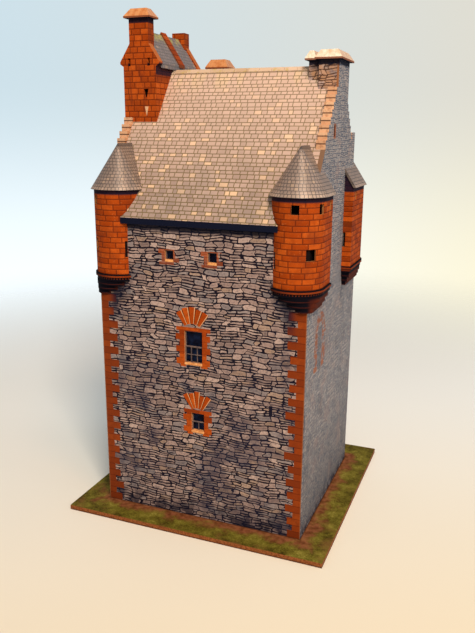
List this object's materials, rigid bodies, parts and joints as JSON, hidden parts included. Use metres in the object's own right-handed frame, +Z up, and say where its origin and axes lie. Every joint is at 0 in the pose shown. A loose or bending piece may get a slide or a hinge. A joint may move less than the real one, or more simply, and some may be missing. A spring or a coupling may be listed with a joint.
{
  "type": "card model of a castle keep",
  "caption": "Card model of a tall tower house on its base card, with round corner turrets, crow-stepped gables, slate roofs and a caphouse over one gable.",
  "frame": {"origin": "centre of the underside of the base card", "axes": "+X to the right along the front wall, +Y from the front wall to the back wall, +Z up"},
  "size_m": [0.122, 0.1146, 0.2239],
  "materials": {
    "base_card": "matte",
    "rubble_card": "matte",
    "ashlar_card": "matte",
    "slate_card": "matte",
    "coping_card": "matte",
    "cap_card": "matte",
    "window_card": "matte"
  },
  "bodies": {
    "root": {"base_card": "base_card", "front_wall": "rubble_card", "back_wall": "rubble_card", "left_gable_wall": "rubble_card", "right_gable_wall": "rubble_card", "main_roof_front": "slate_card", "main_roof_back": "slate_card", "gable_stack": "rubble_card", "inner_stack": "rubble_card", "gable_cap": "cap_card", "inner_cap": "cap_card", "right_front_steps": "coping_card", "right_back_steps": "coping_card", "left_front_steps": "coping_card", "caphouse_front": "ashlar_card", "caphouse_rear": "ashlar_card", "caphouse_left_wall": "ashlar_card", "caphouse_right_wall": "ashlar_card", "caphouse_roof": "slate_card", "mid_skew": "ashlar_card", "caphouse_stack": "ashlar_card", "caphouse_cap": "cap_card", "caphouse_rear_stack": "ashlar_card", "back_stack": "ashlar_card", "back_cap": "cap_card", "front_left_turret_wall": "ashlar_card", "front_left_turret_roof": "slate_card", "front_left_turret_corbel": "ashlar_card", "front_right_turret_wall": "ashlar_card", "front_right_turret_roof": "slate_card", "front_right_turret_corbel": "ashlar_card", "back_left_turret_wall": "ashlar_card", "back_left_turret_roof": "slate_card", "back_left_turret_corbel": "ashlar_card", "back_right_turret_wall": "ashlar_card", "back_right_turret_roof": "slate_card", "back_right_turret_corbel": "ashlar_card", "front_great_window_card": "window_card", "front_lower_window_card": "window_card", "front_attic_window_card": "window_card", "back_great_window_card": "window_card", "back_lower_window_card": "window_card", "back_attic_window_card": "window_card"}
  },
  "joints": []
}
